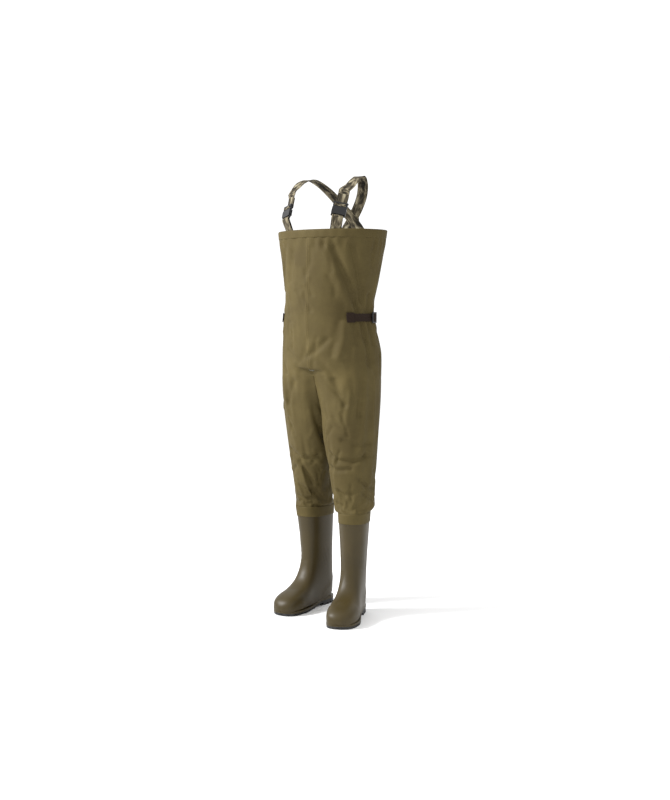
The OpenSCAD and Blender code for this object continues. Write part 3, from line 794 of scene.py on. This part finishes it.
# Three fabric loops: each is sewn flat to the bib above and below, and passes outside the belt.
LOOP_ROWS = ((-0.8, 1038), (-0.9, 1031), (-2.0, 1028.8), (-3.8, 1027.6), (-4.0, 1020), (-4.0, 1008),
             (-3.8, 1000.4), (-2.0, 999.2), (-0.9, 997), (-0.8, 990))
loops = []
for turn in (50, 90, 130):
    turns = np.linspace(turn - 4.6, turn + 4.6, 7)
    rows = []
    for inset, z in LOOP_ROWS:
        sewn_down = abs(inset) < 1
        rows.append(on_cloth(0, turns, z, 0.6) if sewn_down else row(bib_ring(turns, z, inset)))
    loops.append(strip("belt_loop", rows, 0.9, (0.022, 0.055)))
only(loops[0])
for extra in loops[1:]:
    extra.select_set(True)
bpy.ops.object.join()
fabric_loops = loops[0]
fabric_loops.name = "fabric_belt_loops"
sewn_piece(fabric_loops, nylon, "belt_loops", "bib")

# Black acetal, as moulded: nearly smooth, with a faint grain and rounded edges.
acetal, tree, shader = new_material("black_moulded_acetal")
grain = object_noise(tree, 900.0, 2.0)
tone = ramp(tree, grain.outputs["Fac"], ((0.3, linear("#151516")), (0.7, linear("#1c1c1d"))))
emboss(tree, shader, grain.outputs["Fac"], 0.1, 0.3)
finish(tree, shader, tone, 0.38, 0.3)


def finish_cad(node, material, edge):
    """Gives a CAD node its finish and soft edges."""
    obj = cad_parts[node]
    paint(obj, material)
    only(obj)
    bpy.ops.object.shade_smooth_by_angle(angle=math.radians(35), keep_sharp_edges=False)
    soften(obj, edge)


# Each slider turns about an upright axis inside the belt's curve. Its bight of webbing goes round
# the middle bar; BIGHT gives the distance from that axis and the angle from the slider's middle.
SLIDER_RADIUS, SLIDER_TURN = 104.0, 10.0
seat_turn, facing = math.radians(4), math.radians(SLIDER_TURN)
seat = np.array([173.1 * math.cos(seat_turn), 92.1 * math.sin(seat_turn)])
slider_axis = seat - SLIDER_RADIUS * np.array([math.cos(facing), math.sin(facing)])
BIGHT = ((104.9, -5.8), (107.4, -5.5), (108.1, -4.7), (108.1, -1.6), (108.1, 1.6), (108.1, 4.7),
         (107.4, 5.5), (104.9, 5.8))


def bight_line(side, z):
    """One edge of the webbing round the slider's bar, at height z."""
    line = []
    for radius, degrees in BIGHT:
        turn = math.radians(SLIDER_TURN + degrees)
        x = waist_sway(BELT_Z) + side * (slider_axis[0] + radius * math.cos(turn))
        line.append((x, slider_axis[1] + radius * math.sin(turn), z))
    return row(line if side > 0 else line[::-1])


for side, hand in SIDES:
    finish_cad(hand + "_belt_slider", acetal, 0.5)
    bight = strip(hand + "_bight", [bight_line(side, z) for z in BELT_HEIGHTS], 1.3, (0.026, BELT_WIDTH))
    sewn_piece(bight, brown, hand + "_belt_bight", hand + "_belt_slider")

# ---------------------------------------------------------------------------------------------
# The front buckles: black acetal side-release buckles. A short strap from inside the bib holds
# each socket; the brace is threaded through the plug's ladder lock.

# Elastic webbing printed with a blotchy mix of browns and greys, drawn out along its length.
webbing, tree, shader = new_material("mottled_elastic_webbing")
stretch = add(tree, "Mapping", {"Scale": (1.0, 0.42, 1.0)}, cloth_uv_input(tree))
blotch = add(tree, "TexNoise", {"Scale": 78.0, "Detail": 3.0, "Roughness": 0.55, "Distortion": 0.6},
             {"Vector": stretch.outputs["Vector"]})
tone = ramp(tree, blotch.outputs["Fac"], (
    (0.36, linear("#1e1b14")), (0.43, linear("#342f24")), (0.50, linear("#4b4436")),
    (0.56, linear("#6c6451")), (0.66, linear("#8c856f"))))
ribs = add(tree, "TexWave", {"Scale": 110.0, "Distortion": 0.3}, cloth_uv_input(tree), bands_direction="Y")
emboss(tree, shader, ribs.outputs["Fac"], 0.4, 0.5)
finish(tree, shader, tone, 0.8, 0.15)
WEBBING_WIDTH, WEBBING_THICK = 38, 1.8


def unit(vector):
    return np.asarray(vector, float) / np.linalg.norm(vector)


BUCKLE_AT = np.array([106.0, -117.0, 1371.0])
BUCKLE_UP = unit((0.05, 0.38, 1))
CHEST_NORMAL = np.array([0.407, -0.913, 0.0])
BUCKLE_OUT = unit(CHEST_NORMAL - (CHEST_NORMAL @ BUCKLE_UP) * BUCKLE_UP)
BUCKLE_ACROSS = np.cross(BUCKLE_UP, BUCKLE_OUT)


def from_buckle(y, z):
    """A point up the webbing and out of the chest from the left buckle's middle."""
    return BUCKLE_AT + BUCKLE_UP * y + BUCKLE_OUT * z


def spline(route, steps):
    """A smooth line through the points of a route."""
    route = [np.asarray(p, float) for p in route]
    line = []
    for i in range(len(route) - 1):
        a, b, c, d = (route[min(max(k, 0), len(route) - 1)] for k in (i - 1, i, i + 1, i + 2))
        for t in np.arange(steps) / steps:
            line.append(0.5 * (2 * b + (c - a) * t + (2 * a - 5 * b + 4 * c - d) * t * t
                               + (3 * b - a - 3 * c + d) * t ** 3))
    return np.array(line + [route[-1]])


def length_of(line):
    return float(np.linalg.norm(np.diff(line, axis=0), axis=1).sum()) / 1000.0


def webbing_strap(name, side, line, across, width=WEBBING_WIDTH, thick=WEBBING_THICK, crown=0.0):
    """A strap along a line, with its width along the across directions; mirrored for the right."""
    shares = (-1, -0.8, -0.45, 0, 0.45, 0.8, 1)
    rows = []
    for i, (p, w) in enumerate(zip(line, across)):
        tangent = unit(line[min(i + 1, len(line) - 1)] - line[max(i - 1, 0)])
        out = np.cross(tangent, w)
        points_across = [p + w * share * width / 2 - out * crown * share * share for share in shares]
        rows.append(row([(side * q[0], q[1], q[2]) for q in points_across]))
    if side < 0:
        rows = [r[::-1] for r in rows]
    made = strip(name, rows[::-1], thick, (width / 1000, length_of(line)))
    soften(made, 0.6)
    apply_modifiers(made)
    return made


# The straps' routes past the buckle, as distances up the webbing and out of the chest.
LOWER_ROUTE = ((-120, -42.0), (-90, -30.6), (-76.4, -24.9), (-62.6, -19.2), (-46, -7), (-31, 3.2),
               (-25.4, 3.2), (-22.4, 2.4), (-21.4, 0), (-22.4, -2.4), (-25.4, -3.2), (-31, -3.6),
               (-45, -12.2), (-62.6, -22.8), (-76.4, -28.5), (-90, -34.0), (-112, -42.6))
END_ROUTE = ((50, -8.4), (32, -8.4), (14, -8.4), (11, -7.2), (9.8, -4), (9.8, 4), (10.8, 5.3), (13, 5.7),
             (15.2, 5.3), (16.2, 4), (16.2, -3.4), (17.6, -5.2), (22, -5.8), (40, -5.8), (56, -5.6))
for side, hand in SIDES:
    socket, plug = hand + "_buckle_socket", hand + "_buckle_plug"
    finish_cad(socket, acetal, 0.7)
    finish_cad(plug, acetal, 0.6)
    finish_cad(hand + "_outer_latch", acetal, 0.5)
    finish_cad(hand + "_inner_latch", acetal, 0.5)
    for name, route, body, holder in (("lower_strap", LOWER_ROUTE, "bib", socket),
                                      ("brace_end", END_ROUTE, plug, plug)):
        line = spline([from_buckle(y, z) for y, z in route], 3)
        strap = webbing_strap(f"{hand}_{name}_strap", side, line, [BUCKLE_ACROSS] * len(line))
        sewn_piece(strap, webbing, f"{hand}_{name}", body)

# ---------------------------------------------------------------------------------------------
# The braces: 38 mm elastic webbing that runs from each plug over the shoulder, crosses the other
# at the back under a sewn patch, and goes down inside the opposite half of the back rim.


def brace_line(step):
    """The brace's middle line; the step lifts one brace over the other where they cross."""
    route = [from_buckle(56.3, -5.6), from_buckle(63, -5.4), from_buckle(70, -5.2), (112, -64, 1450),
             (112, -38, 1470), (109, -14, 1482), (103, 10, 1488), (94, 36, 1482), (78, 68, 1461),
             (54, 95 + step, 1428), (26, 111 + step, 1390), (-3, 119 + step, 1352), (-30, 121 + step, 1318),
             (-46, 115.4, 1290), (-58, 110, 1262), (-66, 104, 1240)]
    return spline(route, 8)


def brace_across(line):
    """The webbing's width direction: square to the chest at the buckle, then round the body."""
    directions = []
    for i in range(len(line)):
        tangent = unit(line[min(i + 1, len(line) - 1)] - line[max(i - 1, 0)])
        near_buckle = max(0.0, 1 - i / 36)
        around = unit((0, -tangent[2], tangent[1]))
        outward = unit(BUCKLE_OUT * near_buckle + around * (1 - near_buckle))
        directions.append(unit(np.cross(tangent, outward)))
    return directions


for side, hand in SIDES:
    line = brace_line(side * 1.5)
    brace = webbing_strap(hand + "_brace_webbing", side, line, brace_across(line), crown=0.7)
    paint(brace, webbing)
    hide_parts(hand + "_brace")
    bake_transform(brace)

# The patch lies over the upper brace where they cross, square to the body's middle.
line = np.array([(0, p[1] + 2.7, p[2]) for p in brace_line(1.5) if 1328 < p[2] < 1392])
patch = webbing_strap("brace_crossing_patch", 1, line, [np.array([-1.0, 0, 0])] * len(line), 54, 1.5)
sewn_piece(patch, brown, "brace_cross_patch", "bib")

# ---------------------------------------------------------------------------------------------
# The boots: moulded green-brown PVC wellingtons with a toe cap, a heel spur and creases at the
# ankle. A black cleated sole and a rand are moulded on, and a fabric band covers the weld to the leg.

# Satin PVC: an even moulding with a slight mottle and a fine grain.
pvc, tree, shader = new_material("satin_green_brown_pvc")
mottle = object_noise(tree, 9.0, 5.0)
tone = ramp(tree, mottle.outputs["Fac"], ((0.3, linear("#31280f")), (0.7, linear("#392f15"))))
grain = object_noise(tree, 700.0, 2.0)
emboss(tree, shader, grain.outputs["Fac"], 0.12, 0.4)
finish(tree, shader, tone, 0.46, 0.26)

# Matt black sole rubber with a dusty, scuffed tone.
tread, tree, shader = new_material("matt_black_sole_rubber")
scuff = object_noise(tree, 60.0, 6.0)
tone = ramp(tree, scuff.outputs["Fac"], ((0.35, linear("#121212")), (0.75, linear("#22211f"))))
finish(tree, shader, tone, 0.65)

# Grey knitted lining, with fine ribs round the shaft.
knit, tree, shader = new_material("grey_knitted_lining")
coordinates = add(tree, "TexCoord")
ribs = add(tree, "TexWave", {"Scale": 200.0, "Distortion": 0.6}, {"Vector": coordinates.outputs["Object"]},
           bands_direction="Z")
tone = ramp(tree, ribs.outputs["Fac"], ((0.2, linear("#45453f")), (0.8, linear("#57574f"))))
emboss(tree, shader, ribs.outputs["Fac"], 0.5, 0.5)
finish(tree, shader, tone, 0.9)

# Stations from the toe to the top edge: sole or heel side (y, z), top or shin side (y, z), half width.
BOOT_STATIONS = (
    (-226, 24, -226, 36, 14), (-220, 18, -218, 50, 32), (-205, 14, -200, 61, 43), (-180, 11, -176, 69, 49.5),
    (-145, 10, -144, 76, 51.5), (-105, 10, -114, 89, 48), (-65, 12, -92, 110, 42), (-10, 14, -77, 139, 40),
    (50, 16, -69, 170, 40), (74, 44, -68, 203, 41), (72, 104, -71, 234, 42.5), (70, 172, -71, 262, 44),
    (72, 242, -75, 292, 47.5), (78, 350, -84, 350, 52))
SOLE_FRONT, SOLE_HEEL, RING_POINTS = 15.0, 27.0, 28
SHAFT_SQUARE, SOLE_SQUARE = 0.84, 0.3


def sole_top(y):
    """The height of the sole's upper face, which steps up from the forefoot to the heel."""
    return SOLE_FRONT + (SOLE_HEEL - SOLE_FRONT) * max(0.0, min(1.0, (y + 75) / 60))


def toe_shift(y):
    """How far the foot's middle line curves in towards the other foot, as the toe does."""
    return 0.0 if y > -60 else -7 * ((-y - 60) / 168) ** 2


def squared(value, power):
    return math.copysign(abs(value) ** power, value)


def boot_ring(station, inset):
    """The points of one station of a boot in its own frame, so many millimetres inside its face."""
    foot, top, half_width = np.array(station[:2], float), np.array(station[2:4], float), station[4]
    on_sole = station[1] < 30
    in_toe = station[0] < -200
    if on_sole and not inset:
        foot[1] = 9.0
    along = unit(top - foot)
    half = np.linalg.norm(top - foot) / 2 - inset
    middle = (foot + top) / 2
    ring = []
    for k in range(RING_POINTS):
        turn = 2 * math.pi * k / RING_POINTS
        low = on_sole and math.sin(turn) < 0
        up = squared(math.sin(turn), 0.5 if low else SHAFT_SQUARE)
        out = squared(math.cos(turn), SOLE_SQUARE if low else SHAFT_SQUARE)
        y = middle[0] + along[0] * half * up + (inset if in_toe else 0)
        z = max(middle[1] + along[1] * half * up, sole_top(y) + (0.3 if inset else -4.5) + inset)
        x = (half_width - inset + (1.2 if on_sole else 0)) * out + toe_shift(y)
        ring.append((x + SHAFT_LEAN * max(0.0, z - 100) / 250, y, z))
    return ring


def set_selected(obj, old, new):
    """Moves the selected points of the mesh in edit mode from the places of one ring to the next."""
    editing = bmesh.from_edit_mesh(obj.data)
    old = np.array(old)
    for vertex in [v for v in editing.verts if v.select]:
        vertex.co = new[int(np.linalg.norm(old - np.array(vertex.co), axis=1).argmin())]
    bmesh.update_edit_mesh(obj.data)


def boot_loft(name, inset, first, last):
    """An open boot-shaped skin, drawn up from a closed toe by extruding one ring to the next."""
    bpy.ops.object.select_all(action="DESELECT")
    bpy.ops.mesh.primitive_circle_add(vertices=RING_POINTS, radius=1, fill_type="NGON")
    obj = bpy.context.object
    obj.name = obj.data.name = name
    rings = [boot_ring(BOOT_STATIONS[i], inset) for i in range(first, last + 1)]
    toe_middle = np.mean(rings[0], axis=0)
    tip = [tuple(toe_middle + (np.array(p) - toe_middle) * 0.55 + (0, -1.6, 0)) for p in rings[0]]
    for vertex, place in zip(obj.data.vertices, tip):
        vertex.co = place
    bpy.ops.object.mode_set(mode="EDIT")
    previous = tip
    bpy.ops.mesh.select_mode(type="EDGE")
    bpy.ops.mesh.select_all(action="SELECT")
    for ring in rings:
        bpy.ops.mesh.extrude_edges_move()
        set_selected(obj, previous, ring)
        previous = ring
    bpy.ops.mesh.select_mode(type="VERT")
    bpy.ops.mesh.select_all(action="SELECT")
    bpy.ops.mesh.normals_make_consistent(inside=False)
    bpy.ops.object.mode_set(mode="OBJECT")
    rounder = obj.modifiers.new("Rounder", "SUBSURF")
    rounder.levels = rounder.render_levels = 2
    apply_modifiers(obj)
    return obj


def bulge(distance, height, width):
    """A rounded ridge: its height at a distance from its middle line."""
    return height * math.exp(-((distance / width) ** 2))


def moulded_relief(x, y, z):
    """How far the boot's moulded details stand out of its face, in millimetres."""
    toe_cap = 0.9 * float(smooth(148, 154, -y))
    slope = 42 + (y + 20) * 0.62
    spur = bulge((z - slope) / 1.18, 1.3, 3.2) * float(smooth(-30, -10, y))
    counter = 0.7 * float(smooth(2, -4, z - slope - 3)) * float(smooth(-25, -5, y))
    crease = 0.0
    if z > 140:
        for centre, depth in ((168, 1.6), (184, 2.0), (201, 1.5)):
            sagged = centre + 0.025 * abs(x) ** 1.4
            crease -= bulge(z - sagged + 0.25 * (y + 60), depth, 4.5) * float(smooth(30, -10, y))
    instep = bulge(z - (118 + 0.35 * abs(x)) + 0.62 * (y + 92), 0.8, 3.0) * float(smooth(40, 20, abs(x)))
    return toe_cap + spur + counter + crease + instep


def place_boot(obj, side):
    """Takes a boot from its own frame to where it stands."""
    own = read(obj.data.vertices, "co", 3)
    obj.data.vertices.foreach_set("co", row(boot_to_row(side, own)).ravel())
    obj.data.update()
    only(obj)
    bpy.ops.object.mode_set(mode="EDIT")
    bpy.ops.mesh.select_all(action="SELECT")
    bpy.ops.mesh.normals_make_consistent(inside=False)
    bpy.ops.object.mode_set(mode="OBJECT")
    bpy.ops.object.shade_smooth()


def thicken(obj, thick):
    """Gives a skin its wall, in the millimetres that a boot is drawn in."""
    skin = obj.modifiers.new("Wall", "SOLIDIFY")
    skin.thickness = thick
    skin.offset = -1
    apply_modifiers(obj)


INSOLE_POINTS, INSOLE_LIFT = 60, 8.6
BAND_ROWS = ((356, 0.5), (352, 0.9), (344, 0.9), (336, 0.8), (328, 0.8), (323, 1.0), (320.6, 0.7))
band_turn = np.linspace(0, 360, 97)[:-1]
for side, hand in SIDES:
    upper = boot_loft(hand + "_boot", 0.0, 0, 13)
    for vertex in upper.data.vertices:
        x, y, z = vertex.co
        vertex.co = vertex.co + vertex.normal * moulded_relief(x, y, z)
    thicken(upper, 3.0)
    place_boot(upper, side)
    paint(upper, pvc)
    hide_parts(hand + "_boot_upper")
    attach(upper, hand + "_shin")

    lining = boot_loft(hand + "_boot_knit", 4.8, 1, 12)
    thicken(lining, 1.2)
    place_boot(lining, side)
    paint(lining, knit)
    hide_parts(hand + "_boot_lining")
    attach(lining, hand + "_shin")

    # The foam insole, cut to the foot and rounded at its edge.
    outline = []
    for k in range(INSOLE_POINTS):
        turn = 2 * math.pi * k / INSOLE_POINTS
        y = -66 - 112 * math.cos(turn)
        half = float(np.interp(y, (-178, -150, -110, -60, 10, 46), (13, 24, 24, 17, 14, 9)))
        outline.append((half * math.sin(turn) + toe_shift(y), y))
    bpy.ops.object.select_all(action="DESELECT")
    bpy.ops.mesh.primitive_circle_add(vertices=INSOLE_POINTS, radius=1, fill_type="NGON")
    insole = bpy.context.object
    insole.name = insole.data.name = hand + "_foam_insole"
    for vertex, (x, y) in zip(insole.data.vertices, outline):
        vertex.co = (x, y, sole_top(y) + INSOLE_LIFT)
    pad = insole.modifiers.new("Foam", "SOLIDIFY")
    pad.thickness = 3.6
    pad.offset = 1
    soften(insole, 1.0, 3, per_metre=1.0)
    apply_modifiers(insole)
    place_boot(insole, side)
    paint(insole, knit)
    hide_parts(hand + "_boot_insole")
    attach(insole, hand + "_shin")

    finish_cad(hand + "_outsole", tread, 0.8)
    finish_cad(hand + "_boot_rand", pvc, 1.2)

    # The band over the weld, smooth against the boot and slightly rolled at its lower edge.
    rows = [row(mouth_ring(side, band_turn * side, z, proud)) for z, proud in BAND_ROWS]
    band = strip(hand + "_weld_band", rows, 1.0, (0.42, 0.036), closed=True)
    sewn_piece(band, nylon, hand + "_joint_tape", hand + "_shin")

# ---------------------------------------------------------------------------------------------
# The studio: a pale floor that meets a white surround, with soft light from the wearer's right.

bpy.ops.object.select_all(action="DESELECT")
bpy.ops.mesh.primitive_plane_add(size=60, location=(0, 0, 0))
floor = bpy.context.object
floor.name = "studio_floor"
floor.data.transform(floor.matrix_world)
floor.matrix_world.identity()
pale, tree, shader = new_material("pale_floor")
shader.inputs["Base Color"].default_value = linear("#f4f4f4")
shader.inputs["Roughness"].default_value = 0.9
paint(floor, pale)

world = bpy.data.worlds.new("studio")
world.use_nodes = True
world.node_tree.nodes["Background"].inputs["Color"].default_value = (1, 1, 1, 1)
world.node_tree.nodes["Background"].inputs["Strength"].default_value = 1.15
bpy.context.scene.world = world


def soft_light(name, place, aim, size, power):
    light = bpy.data.lights.new(name, "AREA")
    light.size = size
    light.energy = power
    lamp = bpy.data.objects.new(name, light)
    lamp.location = place
    lamp.rotation_euler = (Vector(aim) - Vector(place)).to_track_quat("-Z", "Y").to_euler()
    bpy.context.scene.collection.objects.link(lamp)


soft_light("key", (-2.6, -2.6, 3.2), (0, 0, 0.8), 1.2, 330)
soft_light("fill", (3.6, -1.4, 1.8), (0, 0, 0.8), 2.0, 10)

# The camera stands 4.25 m off, 34.5 degrees round to the wearer's left, at waist height.
CAMERA_DISTANCE, CAMERA_HEIGHT, AIM_HEIGHT = 4.25, 1.02, 0.75
azimuth = math.radians(34.5)
lens = bpy.data.cameras.new("studio_camera")
lens.lens = 56.15
lens.shift_x = 0.0125
lens.shift_y = -0.00625
camera = bpy.data.objects.new("studio_camera", lens)
camera.location = (CAMERA_DISTANCE * math.sin(azimuth), -CAMERA_DISTANCE * math.cos(azimuth), CAMERA_HEIGHT)
camera.rotation_euler = (Vector((0, 0, AIM_HEIGHT)) - camera.location).to_track_quat("-Z", "Y").to_euler()
bpy.context.scene.collection.objects.link(camera)
bpy.context.scene.camera = camera
bpy.context.scene.view_settings.view_transform = "Standard"

bpy.context.view_layer.update()
